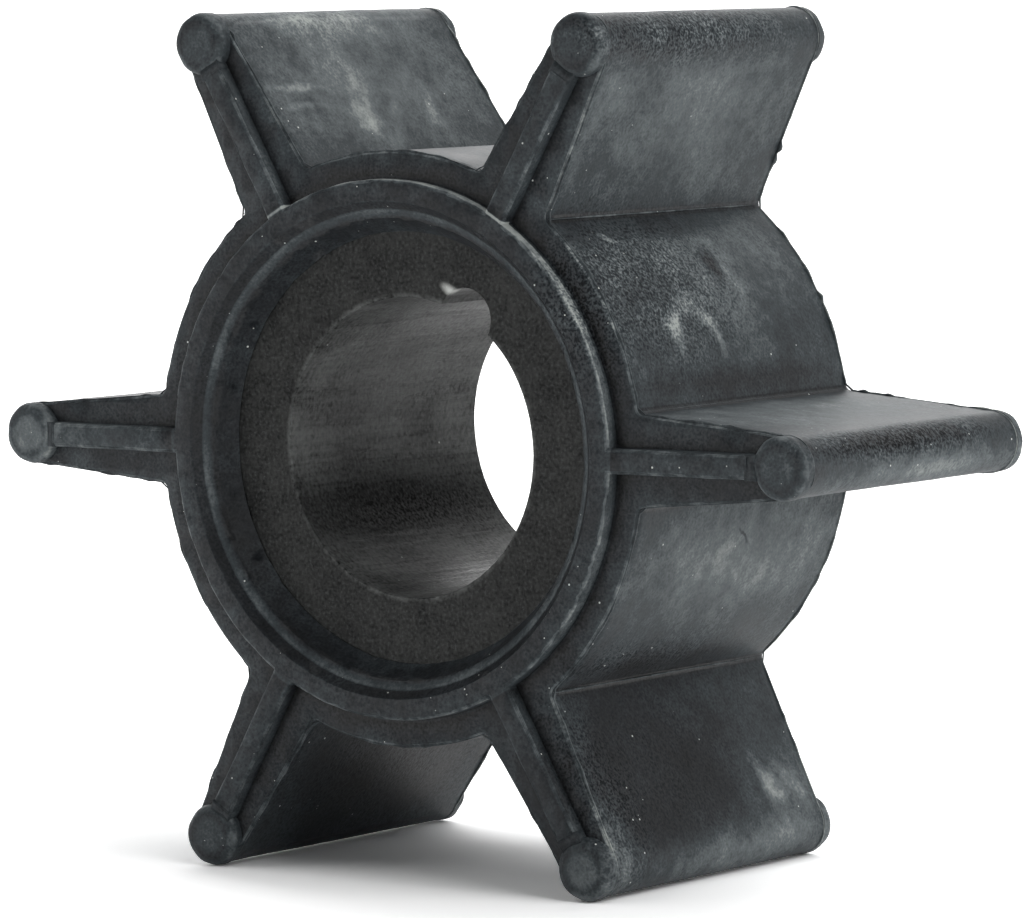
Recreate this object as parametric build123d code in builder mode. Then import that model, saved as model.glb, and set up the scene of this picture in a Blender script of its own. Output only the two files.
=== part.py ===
from build123d import *
import os
from math import radians, sin

# Flexible pump impeller: a moulded rubber body with six vanes, bonded to a keyed hub bush.
# Millimetres. The shaft axis is Y, the front end faces -Y, and the origin is on the axis
# at mid-width. The impeller stands on the tips of its two lower vanes, with Z up.

# ---- overall ----
tip_diameter = 40.0            # across opposite vane tips
seal_width = 16.5              # along the axis, over the sealing rings and the vane ribs
side_setback = 0.65            # the sides of the barrel and vanes lie this far below the rings

# ---- bush ----
shaft_diameter = 12.0
shaft_clearance = 0.1          # on the diameter
bush_wall = 3.15
front_recess = 1.65            # from the front sealing ring's face down to the bush
rear_recess = 2.05
bore_chamfer = 0.06
drive_pin_diameter = 2.4
drive_pin_clearance = 0.1      # on the diameter
keyway_wall_gap = 0.12         # the keyway's centre line lies this far inside the bore's wall
keyway_angle = 62.0            # from +X towards +Z, close to one vane

# ---- hub end, from the bush outwards: lip, step, ledge, bevel, sealing ring, shoulder ----
lip_cover = 0.5                # the rubber lip closes over the rim of the bush's end
step_inset = 0.05              # top of the lip's slope, inside the bush's rim
step_flare = 0.15              # the short step above the lip widens by this much
ledge_width = 0.35
bevel_width = 0.35
ring_width = 0.9
shoulder_width = 1.1           # from the sealing ring out to the barrel's wall
bevel_depth = 0.4
ledge_fall = 0.2               # the ledge slopes down inwards by this much
step_depth = 0.3
ring_edge_radius = 0.18

# ---- vanes ----
vane_count = 6
vane_tip_thickness = 2.5       # the tip is a full round of this diameter
vane_taper_angle = 5.0         # each flank leans in by this much towards the tip
vane_root_fillet = 0.3
side_edge_radius = 0.12        # moulded edge round the sides of the barrel and the vanes

# ---- ribs and buttons on the vane ends ----
rib_thickness = 1.05
rib_edge_radius = 0.18
rib_end_gap = 0.08             # groove between a rib's outer end and its button
button_setback = 0.05          # the buttons' faces lie this far below the sealing rings
button_lip = 0.05              # how far a button stands out round the vane tip
button_edge_radius = 0.4
button_root = 0.15             # how far its lip reaches back past the vane's side

# ---- radii worked out from the shaft outwards ----
bore_radius = (shaft_diameter + shaft_clearance) / 2
bush_radius = bore_radius + bush_wall
lip_radius = bush_radius - lip_cover
step_foot_radius = bush_radius - step_inset
step_top_radius = step_foot_radius + step_flare
ledge_radius = step_top_radius + ledge_width
ring_inner_radius = ledge_radius + bevel_width
ring_outer_radius = ring_inner_radius + ring_width
barrel_radius = ring_outer_radius + shoulder_width
ring_middle = (ring_inner_radius + ring_outer_radius) / 2
tube_overlap = (bush_radius + ring_middle) / 2
keyway_radius = (drive_pin_diameter + drive_pin_clearance) / 2
keyway_centre = bore_radius - keyway_wall_gap

# ---- places along the axis, from mid-width towards an end ----
seal_half = seal_width / 2
side_half = seal_half - side_setback
button_half = seal_half - button_setback
ledge_top = seal_half - bevel_depth
ledge_foot = ledge_top - ledge_fall
step_foot = ledge_foot - step_depth
bush_front = seal_half - front_recess
bush_rear = seal_half - rear_recess

# ---- the vane's section ----
# Its flanks are the two common tangents of its round tip and of a larger circle inside
# the barrel. The larger circle's size sets the taper.
tip_round = vane_tip_thickness / 2
tip_centre = tip_diameter / 2 - tip_round
root_centre = barrel_radius - vane_tip_thickness
root_round = tip_round + (tip_centre - root_centre) * sin(radians(vane_taper_angle))
button_radius = tip_round + button_lip
rib_end = tip_centre - button_radius - rib_end_gap
vane_pitch = 360 / vane_count
vane_angles = [vane_pitch * number for number in range(vane_count)]

os.makedirs("parts", exist_ok=True)

# ---- one vane's section, for the vane that points along +X ----
with BuildSketch(Plane.XZ) as vane_outline:
    with Locations((tip_centre, 0)):
        Circle(tip_round)
    with Locations((root_centre, 0)):
        Circle(root_round)
    make_hull()

# ---- one rib, on the front end of the same vane ----
with BuildPart() as vane_rib:
    with BuildSketch(Plane.XZ.offset(side_half - side_edge_radius)) as rib_outline:
        with Locations(((ring_middle + rib_end) / 2, 0)):
            Rectangle(rib_end - ring_middle, rib_thickness)
    extrude(amount=side_setback + side_edge_radius)
    rib_top = vane_rib.faces().sort_by(Axis.Y)[0]
    fillet(rib_top.edges().filter_by(Axis.X), radius=rib_edge_radius)

# ---- one domed button, on the front end of the same vane's tip ----
with BuildPart() as tip_button:
    with BuildSketch(Plane.XZ.offset(side_half - button_root)) as button_outline:
        with Locations((tip_centre, 0)):
            Circle(button_radius)
    extrude(amount=button_half - side_half + button_root)
    button_face = tip_button.faces().sort_by(Axis.Y)[0]
    fillet(button_face.edges(), radius=button_edge_radius)

# ---- the rubber tube round the bush: sealing rings, stepped recesses and lips in one section ----
# Drawn with the radius across and the axis up. The lips close over the ends of the bush.
with BuildPart() as hub_tube:
    with BuildSketch(Plane.XY) as tube_section:
        with BuildLine() as tube_line:
            Polyline(
                (bush_radius, -bush_front),
                (lip_radius, -bush_front),
                (step_foot_radius, -step_foot),
                (step_top_radius, -ledge_foot),
                (ledge_radius, -ledge_top),
                (ring_inner_radius, -seal_half),
                (ring_outer_radius, -seal_half),
                (ring_outer_radius, seal_half),
                (ring_inner_radius, seal_half),
                (ledge_radius, ledge_top),
                (step_top_radius, ledge_foot),
                (step_foot_radius, step_foot),
                (lip_radius, bush_rear),
                (bush_radius, bush_rear),
                close=True,
            )
        make_face()
        ring_corners = tube_section.vertices().group_by(Axis.X)[-1]
        fillet(ring_corners, radius=ring_edge_radius)
    revolve(axis=Axis.Y)

# ---- the rubber body: barrel and vanes, with the tube, ribs and buttons joined to them ----
with BuildPart() as impeller_rubber:
    with BuildSketch(Plane.XZ) as side_outline:
        Circle(barrel_radius)
        with PolarLocations(0, vane_count):
            add(vane_outline.sketch_local)
        roots = side_outline.vertices().filter_by(
            lambda corner: abs(corner.center().length - barrel_radius) < vane_root_fillet
        )
        fillet(roots, radius=vane_root_fillet)
        Circle(tube_overlap, mode=Mode.SUBTRACT)
    extrude(amount=side_half, both=True)
    sides = impeller_rubber.faces().filter_by(Axis.Y)
    side_edges = [edge for side in sides for edge in side.outer_wire().edges()]
    fillet(side_edges, radius=side_edge_radius)

    add(hub_tube.part)
    for angle in vane_angles:
        for end_piece in (vane_rib.part, tip_button.part):
            turned = end_piece.rotate(Axis.Y, angle)
            add(turned)
            add(mirror(turned, about=Plane.XZ, mode=Mode.PRIVATE))
impeller_rubber.part.label = "impeller_rubber"
export_step(impeller_rubber.part, "parts/impeller_rubber.step")

# ---- the bonded hub bush, with its half-round keyway ----
with BuildPart() as hub_bush:
    with BuildSketch(Plane.XZ.offset(-bush_rear)) as bush_outline:
        Circle(bush_radius)
        Circle(bore_radius, mode=Mode.SUBTRACT)
        with PolarLocations(keyway_centre, 1, start_angle=keyway_angle):
            Circle(keyway_radius, mode=Mode.SUBTRACT)
    extrude(amount=bush_front + bush_rear)
    bush_ends = hub_bush.faces().filter_by(Axis.Y)
    bore_edges = bush_ends.edges().filter_by(lambda edge: edge.radius < bush_radius)
    chamfer(bore_edges, length=bore_chamfer)
hub_bush.part.label = "hub_bush"
export_step(hub_bush.part, "parts/hub_bush.step")
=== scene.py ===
# %% [markdown]
# # A rubber pump impeller
# This is the turning part of a small cooling-water pump. Six rubber vanes stand on a barrel, and a
# keyed bush is moulded into the middle of it. The shape comes finished from the CAD frame, so the
# lesson is about what CAD leaves out: the slightly uneven skin of a real moulding, the thin flash
# left along its edges, and a dark, dusty rubber that has to be seen against white.

# %% Load the frame
import math

import bmesh
import bpy
from mathutils import Matrix, Vector, noise


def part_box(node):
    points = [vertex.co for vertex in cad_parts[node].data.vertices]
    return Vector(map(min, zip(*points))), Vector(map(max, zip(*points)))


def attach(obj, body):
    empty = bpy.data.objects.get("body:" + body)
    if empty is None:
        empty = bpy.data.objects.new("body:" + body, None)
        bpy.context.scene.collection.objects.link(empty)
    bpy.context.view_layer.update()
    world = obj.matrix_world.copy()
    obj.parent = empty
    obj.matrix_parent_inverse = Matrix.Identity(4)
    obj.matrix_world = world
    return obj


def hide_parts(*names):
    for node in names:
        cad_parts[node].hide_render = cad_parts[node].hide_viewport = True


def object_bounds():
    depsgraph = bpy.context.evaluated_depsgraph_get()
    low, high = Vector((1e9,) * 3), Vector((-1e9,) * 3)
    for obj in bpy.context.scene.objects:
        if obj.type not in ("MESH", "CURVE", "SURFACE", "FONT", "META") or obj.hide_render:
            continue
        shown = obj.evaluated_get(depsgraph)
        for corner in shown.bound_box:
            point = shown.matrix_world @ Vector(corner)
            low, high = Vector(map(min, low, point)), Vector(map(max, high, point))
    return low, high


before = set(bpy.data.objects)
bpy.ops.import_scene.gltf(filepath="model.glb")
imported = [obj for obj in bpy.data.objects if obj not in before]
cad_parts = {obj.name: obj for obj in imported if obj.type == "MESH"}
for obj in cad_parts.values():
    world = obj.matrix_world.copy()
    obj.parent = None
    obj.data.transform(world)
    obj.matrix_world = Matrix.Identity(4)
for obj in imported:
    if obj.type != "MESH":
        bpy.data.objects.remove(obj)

MM = 0.001
cad_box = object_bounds()
rubber_low, rubber_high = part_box("impeller_rubber")
print("rubber, mm:", [round(size / MM, 2) for size in rubber_high - rubber_low])

# %% [markdown]
# ## The camera
# A long lens a quarter of a metre away sees the part slightly from above and from the right. Its place
# is worked out from an angle round the part, an angle above the table and a distance, so that
# each of them can be changed by itself. The small roll and the small offsets finish the framing.

# %% Which way the camera looks
VIEW_AZIMUTH = math.radians(35.885)
VIEW_ELEVATION = math.radians(4.693)
VIEW_ROLL = math.radians(-0.617)

look = Vector((
    -math.sin(VIEW_AZIMUTH) * math.cos(VIEW_ELEVATION),
    math.cos(VIEW_AZIMUTH) * math.cos(VIEW_ELEVATION),
    -math.sin(VIEW_ELEVATION),
))
level_right = Vector((math.cos(VIEW_AZIMUTH), math.sin(VIEW_AZIMUTH), 0))
level_up = level_right.cross(look)
right = level_right * math.cos(VIEW_ROLL) + level_up * math.sin(VIEW_ROLL)
up = level_up * math.cos(VIEW_ROLL) - level_right * math.sin(VIEW_ROLL)
print("the camera looks along", [round(value, 3) for value in look])

# %% Place the camera
VIEW_DISTANCE = 257.108 * MM
VIEW_RIGHT = 0.265 * MM
VIEW_UP = -0.925 * MM
NEAREST_SEEN = 10 * MM
# A lens and its sensor are given in millimetres, as on a real camera.
LENS = 219.97
SENSOR_WIDTH = 36

camera_data = bpy.data.cameras.new("camera")
camera_data.sensor_width = SENSOR_WIDTH
camera_data.lens = LENS
camera_data.clip_start = NEAREST_SEEN
camera = bpy.data.objects.new("camera", camera_data)
place = -look * VIEW_DISTANCE + right * VIEW_RIGHT + up * VIEW_UP
turn = Matrix((right, up, -look)).transposed().to_4x4()
camera.matrix_world = Matrix.Translation(place) @ turn
bpy.context.scene.collection.objects.link(camera)
bpy.context.scene.camera = camera
print("camera at, mm:", [round(value / MM, 1) for value in place])

# %% [markdown]
# ## Small helpers
# Colours are written the way a paint chart gives them, as sRGB hex values, and one function turns
# them into the linear numbers that the renderer works in. Another function adds one shader node,
# sets it and links it, so that each material below reads as a list of what it is made of. A node's
# inputs go by name or by number. A Map Range takes its value as input 0, the range that it reads
# as 1 and 2, and the range that it gives as 3 and 4, which are 0 and 1 where they aren't given.

# %% Colours
def linear(hex_colour):
    """An sRGB hex colour as linear RGBA."""
    channels = [int(hex_colour[i:i + 2], 16) / 255 for i in (1, 3, 5)]
    return [c / 12.92 if c <= 0.04045 else ((c + 0.055) / 1.055) ** 2.4 for c in channels] + [1]


print("mid grey, linear:", [round(channel, 3) for channel in linear("#808080")[:3]])

# %% Materials and nodes
def new_material(name):
    """An empty material, and the tree that its nodes go into."""
    made = bpy.data.materials.new(name)
    made.use_nodes = True
    made.node_tree.nodes.clear()
    print("material:", name)
    return made, made.node_tree


def add_node(tree, kind, inputs=None, **settings):
    """Adds one node. Inputs are values, sockets or other nodes, keyed by name or number."""
    made = tree.nodes.new(kind)
    for name, value in settings.items():
        setattr(made, name, value)
    for key, value in (inputs or {}).items():
        if isinstance(value, bpy.types.Node):
            value = next(socket for socket in value.outputs if socket.enabled)
        if isinstance(value, bpy.types.NodeSocket):
            tree.links.new(value, made.inputs[key])
        else:
            made.inputs[key].default_value = value
    return made


# %% Objects
def add_object(name, bm):
    """Makes a smooth object in the scene from a finished bmesh."""
    mesh = bpy.data.meshes.new(name)
    bm.to_mesh(mesh)
    bm.free()
    mesh.shade_smooth()
    made = bpy.data.objects.new(name, mesh)
    bpy.context.scene.collection.objects.link(made)
    print(name, "has", len(mesh.polygons), "faces")
    return made


# %% [markdown]
# ## Light
# Small goods are shown in a white tent: soft panels stand on the right, low behind on
# the left, straight behind and above, and a weak one in front on the left fills the shadows. A
# sun lamp with a wide angle is the simplest soft panel, because its light is the same all over
# the part and needs no distance to be set. The tent's walls add a little light from all round.

# %% Soft panels
PANEL_ANGLE = 50
# Each panel: its strength, its angle from the front of the part towards its right, and its
# angle above the table, both in degrees.
PANELS = {
    "right_panel": (1.4, 90, 42),
    "back_panel": (0.7, 180, 40),
    "low_left_panel": (2.6, 225, 14),
    "top_panel": (0.9, 180, 72),
    "front_fill": (0.4, 315, 40),
}

for name, (strength, azimuth, elevation) in PANELS.items():
    data = bpy.data.lights.new(name, "SUN")
    data.energy = strength
    data.angle = math.radians(PANEL_ANGLE)
    a, e = math.radians(azimuth), math.radians(elevation)
    toward = Vector((math.sin(a) * math.cos(e), -math.cos(a) * math.cos(e), math.sin(e)))
    lamp = bpy.data.objects.new(name, data)
    lamp.rotation_euler = toward.to_track_quat("Z", "Y").to_euler()
    bpy.context.scene.collection.objects.link(lamp)
print("panels:", len(PANELS))

# %% The walls of the tent
WALL_LIGHT = 0.04

world = bpy.data.worlds.new("studio")
bpy.context.scene.world = world
world.use_nodes = True
world.node_tree.nodes.clear()
walls = add_node(world.node_tree, "ShaderNodeBackground",
                 {"Color": linear("#ffffff"), "Strength": WALL_LIGHT})
add_node(world.node_tree, "ShaderNodeOutputWorld", {"Surface": walls})
print("light from all round:", WALL_LIGHT)

# %% [markdown]
# ## The white sweep
# The part stands on a sheet of white card that runs back flat and then curves up, so that no
# horizon shows behind it. Its outline is drawn once and spun round the vertical. Seen by the
# camera, in a mirror or through glass the card is whiter than white, the way a bright sheet
# burns out in a camera, and it still takes the soft shadow under the vanes.

# %% Spin the sweep
SWEEP_FLAT = 6.0
SWEEP_REACH = 12.0
SWEEP_RISE = 3.6
SWEEP_STEPS = 8
SWEEP_SIDES = 64

bm = bmesh.new()
table_height = cad_box[0][2]
profile = [(0.0, 0.0)]
for step in range(SWEEP_STEPS + 1):
    part_way = step / SWEEP_STEPS
    profile.append((SWEEP_FLAT + SWEEP_REACH * part_way, SWEEP_RISE * part_way ** 2))
corners = [bm.verts.new((out, 0, table_height + rise)) for out, rise in profile]
lines = [bm.edges.new(pair) for pair in zip(corners, corners[1:])]
bmesh.ops.spin(bm, geom=corners + lines, cent=(0, 0, 0), axis=(0, 0, 1), angle=math.tau,
               steps=SWEEP_SIDES, use_merge=True)
bmesh.ops.remove_doubles(bm, verts=bm.verts, dist=MM)
bmesh.ops.recalc_face_normals(bm, faces=bm.faces)
sweep = add_object("white_sweep", bm)

# %% White card
# Matt card looks equally bright from all sides, so a plain diffuse shader is enough.
CARD_WHITE = linear("#f5f5f5")
CARD_OVER_WHITE = 1.7

card, tree = new_material("matt white card")
path = add_node(tree, "ShaderNodeLightPath")
seen = path.outputs["Is Camera Ray"]
for other_ray in ("Is Glossy Ray", "Is Transmission Ray"):
    seen = add_node(tree, "ShaderNodeMath", {0: seen, 1: path.outputs[other_ray]},
                    operation="MAXIMUM")
tone = add_node(tree, "ShaderNodeMix",
                {"Factor": seen, "A": CARD_WHITE, "B": [CARD_OVER_WHITE] * 3 + [1]},
                data_type="RGBA")
matt = add_node(tree, "ShaderNodeBsdfDiffuse", {"Color": tone})
add_node(tree, "ShaderNodeOutputMaterial", {"Surface": matt})
sweep.data.materials.append(card)

# %% [markdown]
# ## The skin of a moulding
# A CAD face is exactly flat and a CAD edge is the same all the way along. Rubber that was pressed
# in a mould is neither: it shrinks a little unevenly, and its edges are torn when it is pulled
# out. To show that, a copy of each CAD piece is welded and cut into small faces by three sets of
# parallel planes. Cutting with planes keeps the form exactly, which subdividing long thin
# triangles would also do, but with far more faces. Only then are the points moved, and only
# inwards, so that the part never grows past its real size.

# %% Cut a copy into small faces
WELD = 0.0001 * MM
FLAT_ANGLE = math.radians(0.3)
CUT_ALONG = 0.6 * MM
CUT_ACROSS = 0.9 * MM


def cut_skin(node):
    """A welded copy of a CAD piece's surface, cut into small faces."""
    skin = bmesh.new()
    skin.from_mesh(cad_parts[node].data)
    bmesh.ops.remove_doubles(skin, verts=skin.verts, dist=WELD)
    bmesh.ops.dissolve_limit(skin, angle_limit=FLAT_ANGLE, verts=skin.verts, edges=skin.edges)
    low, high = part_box(node)
    for axis, cut in ((1, CUT_ALONG), (0, CUT_ACROSS), (2, CUT_ACROSS)):
        normal = Vector((axis == 0, axis == 1, axis == 2))
        count = round((high[axis] - low[axis]) / cut)
        for number in range(1, count):
            point = low.lerp(high, number / count)
            everything = skin.verts[:] + skin.edges[:] + skin.faces[:]
            bmesh.ops.bisect_plane(skin, geom=everything, dist=WELD, plane_co=point,
                                   plane_no=normal)
    bmesh.ops.triangulate(skin, faces=skin.faces)
    print(node, "skin cut into", len(skin.faces), "triangles")
    return skin


skins = {node: cut_skin(node) for node in ("impeller_rubber", "hub_bush")}

# %% [markdown]
# ## How sharply the skin bends
# Edges are made paler, partly as wear and partly as a painted highlight, and corners are darkened
# as painted shade, so the finish needs to know where they are. The bend at a point is the angle
# between its faces, counted along their shared edges and divided by the area round the point. It
# comes out as one over a radius, so an edge rounded to a tenth of a millimetre gives ten. Averaging
# each point with its neighbours then widens the pale line.

# %% Measure the bend
FULL_WEAR_BEND = 5.0
SPREAD_ROUNDS = 2


def measure_bend(skin):
    """How much each point is made paler, as wear and painted highlight, or darker, as painted shade: 1
    on a sharp edge, 0 on a flat, -1 in a sharp corner.
    """
    skin.verts.ensure_lookup_table()
    bends = []
    for vert in skin.verts:
        turned = sum(edge.calc_face_angle_signed(0) * edge.calc_length()
                     for edge in vert.link_edges)
        area = sum(face.calc_area() for face in vert.link_faces) / 3
        bend = turned / 2 / max(area, WELD ** 2) * MM
        bends.append(max(-1.0, min(1.0, bend / FULL_WEAR_BEND)))
    for spread_round in range(SPREAD_ROUNDS):
        around = [[edge.other_vert(vert).index for edge in vert.link_edges]
                  for vert in skin.verts]
        bends = [
            (bends[here] + sum(bends[there] for there in near) / len(near)) / 2
            for here, near in enumerate(around)
        ]
    return bends


bends = {node: measure_bend(skin) for node, skin in skins.items()}
for node, skin_bends in bends.items():
    print(node, "points on an edge:", sum(bend > 0 for bend in skin_bends), "of", len(skin_bends))

# %% [markdown]
# ## Where the rubber is dusty, greasy or coarse, and where it is painted lighter or darker
# Handling, talc and grease leave broad soft patches. Other broad patches are painted light and
# shade: darker on the barrel and flanks where a vane keeps the light off and under the barrel,
# lighter on the lower right of the barrel and along the top of the right vane. A broad patch needs
# no texture of its own: it can be kept on the mesh as one more number for each point. Each patch
# is an oval that fades towards its rim, and where patches overlap they add up. A second set of
# patches says where the mould's grain is coarse.

# %% A patch that fades
def fade(away):
    """1 in the middle of a patch, falling smoothly to 0 at its rim."""
    left = max(0.0, 1 - away)
    return left * left * (3 - 2 * left)


def add_up(point, patches):
    """The strengths of all the patches at one point, added up."""
    total = 0.0
    for centre, half_size, turn, strength in patches:
        local = Matrix.Rotation(math.radians(-turn), 3, "Y") @ (point / MM - Vector(centre))
        away = Vector(part / half for part, half in zip(local, half_size)).length
        total += strength * fade(away)
    return total


print("a patch, from its middle to its rim:", [round(fade(away / 4), 2) for away in range(5)])

# %% Patches of dust and grease, and of painted light and shade
# Each patch: its middle, its half sizes to the right, along the axis and up, all in millimetres,
# its turn about the axis in degrees, and its strength. Turned by the lean of a vane, a patch lies
# along that vane. A strength below nothing makes the rubber darker.
VANE_LEAN = 30
DUST_AND_LIGHT_PATCHES = (
    ((-6.5, 0.0, 14.5), (2.6, 12.0, 6.5), -VANE_LEAN, 0.26),
    ((-8.9, 0.0, 17.0), (2.4, 10.0, 1.8), -VANE_LEAN, 0.24),
    ((9.4, 1.0, 13.5), (2.6, 10.0, 7.0), VANE_LEAN, 0.24),
    ((10.6, 0.0, 15.9), (1.4, 10.0, 0.9), VANE_LEAN, -0.1),
    ((9.8, -6.0, 14.6), (1.6, 3.0, 1.6), VANE_LEAN, 0.16),
    ((9.0, -7.6, 12.5), (1.2, 1.6, 6.0), VANE_LEAN, 0.12),
    ((9.5, 1.5, 6.6), (2.8, 10.5, 5.0), 0, 0.17),
    # Painted shade on the barrel beside the upper right vane's root.
    ((8.0, -1.0, 8.9), (1.3, 8.0, 1.0), 0, -0.26),
    # Painted shade on the barrel just above the right vane, which keeps the light from below off it.
    ((11.7, 0.0, 2.5), (1.6, 11.0, 1.1), 0, -0.4),
    # Painted light on the lower right of the barrel.
    ((11.0, 1.0, -4.7), (2.6, 11.0, 5.0), 0, 0.36),
    # Painted shade on the barrel beside the lower right vane's root.
    ((8.2, -1.0, -8.8), (1.5, 11.0, 1.4), 0, -0.3),
    # Painted shade on the lower right vane's upper flank, under the right vane.
    ((9.4, -2.5, -13.2), (2.6, 9.5, 6.5), -VANE_LEAN, -0.34),
    ((9.8, 5.5, -14.4), (2.0, 4.0, 3.0), -VANE_LEAN, 0.16),
    ((10.6, 1.0, -16.4), (1.6, 12.0, 1.7), -VANE_LEAN, 0.3),
    ((9.4, -8.3, -16.2), (2.0, 1.5, 2.0), 0, 0.22),
    # Painted shade on the lower left vane's flank, which the other vanes keep the light off.
    ((-6.1, 0.0, -13.8), (2.6, 12.0, 6.5), VANE_LEAN, -0.45),
    # Painted shade under the barrel, between the two lower vanes.
    ((0.0, 0.0, -12.0), (7.0, 12.0, 2.0), 0, -0.25),
    # Painted sheen along the top of the right vane.
    ((14.5, 0.0, 1.9), (8.0, 12.0, 1.4), 0, 0.32),
    ((19.7, -1.5, 0.7), (1.2, 8.5, 0.6), 0, -0.34),
    ((19.7, 1.0, -0.6), (1.4, 11.0, 0.9), 0, 0.3),
    ((-18.7, -8.2, 0.0), (1.9, 1.5, 1.9), 0, 0.28),
    ((-15.5, -8.0, 0.0), (4.5, 1.5, 1.4), 0, 0.2),
    ((9.4, -8.3, 16.2), (1.6, 1.2, 1.6), 0, -0.1),
)

beside_vane = Vector((11.7, 0, 2.6)) * MM
print("dust beside the right vane:", round(add_up(beside_vane, DUST_AND_LIGHT_PATCHES), 2))

# %% Coarse patches
COARSE_PATCHES = (
    ((9.6, -4.5, 6.5), (3.5, 8.5, 5.5), 0, 1.2),
    ((10.3, -2.0, 16.6), (1.8, 10.0, 1.3), VANE_LEAN, 1.4),
    ((19.6, -1.0, 0.7), (1.6, 9.0, 0.9), 0, 1.4),
    ((8.6, -3.5, -8.4), (1.5, 8.0, 1.8), 0, 0.5),
    ((9.6, -6.8, -13.8), (1.8, 3.0, 6.5), -VANE_LEAN, 0.6),
    ((-8.9, -3.0, 17.0), (1.8, 6.0, 1.6), -VANE_LEAN, 0.3),
)

print("coarseness beside the right vane:", round(add_up(beside_vane, COARSE_PATCHES), 2))

# %% Keep the numbers on the mesh
RECESS_RADIUS = 9.9 * MM


def mark_points(skin, skin_bends):
    """Keeps three numbers on each point: edge lightening and corner shade, pale matter with painted
    light and shade, and coarseness. The recess gets no edge lightening or corner shade.
    """
    wear_light_and_shade = skin.verts.layers.float.new("wear_light_and_shade")
    dust_and_painted_light = skin.verts.layers.float.new("dust_and_painted_light")
    coarseness = skin.verts.layers.float.new("coarseness")
    for vert, bend in zip(skin.verts, skin_bends):
        in_recess = math.hypot(vert.co.x, vert.co.z) < RECESS_RADIUS
        vert[wear_light_and_shade] = 0.0 if in_recess else bend
        vert[dust_and_painted_light] = add_up(vert.co, DUST_AND_LIGHT_PATCHES)
        vert[coarseness] = add_up(vert.co, COARSE_PATCHES)


for node, skin in skins.items():
    mark_points(skin, bends[node])
    print(node, "points marked:", len(skin.verts))

# %% [markdown]
# ## Move the points
# Three kinds of unevenness are laid over one another: a slow wave from shrinkage, a finer ripple
# from the mould's hand-finished steel, and a raggedness that only the edges have. Each is a noise
# in real millimetres, and each is scaled from nothing up to its full depth, so it only cuts in.
# The nylon of the bush came out of its mould cleaner, so its edges are torn much less.

# %% Uneven skin
SHRINK_DEPTH = 0.035 * MM
SHRINK_WAVE = 5.0 * MM
RIPPLE_DEPTH = 0.012 * MM
RIPPLE_WAVE = 1.3 * MM
RUBBER_TEAR_DEPTH = 0.13 * MM
NYLON_TEAR_DEPTH = RUBBER_TEAR_DEPTH / 3
TEAR_WAVE = 0.7 * MM
SHARP_ANGLE = math.radians(38)
# How far a noise, which runs from -1 to 1 but is mostly near 0, is spread to fill 0 to 1.
NOISE_SPREAD = 0.7


def share(point, wave):
    """Noise between 0 and 1 at a point, with hills about as wide as the wave."""
    return max(0.0, min(1.0, 0.5 + NOISE_SPREAD * noise.noise(point / wave)))


def make_skin(name, node, tear_depth):
    """The visible piece: the CAD piece's own form with a moulding's uneven surface."""
    skin = skins[node]
    moves = []
    for vert, bend in zip(skin.verts, bends[node]):
        depth = SHRINK_DEPTH * share(vert.co, SHRINK_WAVE)
        depth += RIPPLE_DEPTH * share(vert.co, RIPPLE_WAVE)
        depth += tear_depth * max(0.0, bend) * share(vert.co, TEAR_WAVE) ** 2
        moves.append(vert.normal * -depth)
    for vert, move in zip(skin.verts, moves):
        vert.co += move
    for edge in skin.edges:
        edge.smooth = edge.calc_face_angle(0) < SHARP_ANGLE
    made = add_object(name, skin)
    even = made.modifiers.new("even shading", "WEIGHTED_NORMAL")
    even.keep_sharp = True
    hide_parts(node)
    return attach(made, "root")


rubber_skin = make_skin("moulded_body", "impeller_rubber", RUBBER_TEAR_DEPTH)
bush_skin = make_skin("moulded_bush", "hub_bush", NYLON_TEAR_DEPTH)

# %% [markdown]
# ## The outline of the side
# The flash follows the edge where the mould's end plate met the vanes, so its path is the outline
# of the part seen from the front. That outline repeats six times: a stretch of the barrel, a
# flank that leans in towards the tip, the round tip and the flank back. A flank touches the tip's
# circle squarely, so one angle gives both its slope and the place where the round begins.

# %% Sizes of one vane
VANE_COUNT = 6
BUTTON_LIP = 0.05 * MM
TIP_RADIUS = rubber_high.x - BUTTON_LIP
TIP_ROUND = 1.25 * MM
TAPER = math.radians(5)
BARREL_RADIUS = 12.0 * MM
ROOT_FILLET = 0.3 * MM

tip_centre = TIP_RADIUS - TIP_ROUND
flank_normal = Vector((math.sin(TAPER), math.cos(TAPER)))
flank_end = Vector((tip_centre, 0)) + flank_normal * TIP_ROUND
flank_reach = flank_normal.dot(flank_end)
fillet_ring = BARREL_RADIUS + ROOT_FILLET
fillet_turn = math.asin((flank_reach + ROOT_FILLET) / fillet_ring) - TAPER
fillet_centre = Vector((math.cos(fillet_turn), math.sin(fillet_turn))) * fillet_ring
flank_start = fillet_centre - flank_normal * ROOT_FILLET
print("flank from", round(flank_start.x / MM, 2), "to", round(flank_end.x / MM, 2), "mm")

# %% Points round the outline
OUTLINE_STEP = 0.12 * MM


def upper_half():
    """Points from the middle of a vane's tip back to the barrel, each with its outward direction."""
    points = []
    quarter = math.pi / 2 - TAPER
    for number in range(round(quarter * TIP_ROUND / OUTLINE_STEP)):
        turned = number * OUTLINE_STEP / TIP_ROUND
        out = Vector((math.cos(turned), math.sin(turned)))
        points.append((Vector((tip_centre, 0)) + out * TIP_ROUND, out))
    flank = flank_start - flank_end
    for number in range(round(flank.length / OUTLINE_STEP)):
        points.append((flank_end + flank.normalized() * number * OUTLINE_STEP, flank_normal))
    barrel_turn = math.pi / VANE_COUNT
    count = round((barrel_turn - fillet_turn) * BARREL_RADIUS / OUTLINE_STEP)
    for number in range(count):
        turned = fillet_turn + (barrel_turn - fillet_turn) * number / count
        out = Vector((math.cos(turned), math.sin(turned)))
        points.append((out * BARREL_RADIUS, out))
    return points


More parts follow.
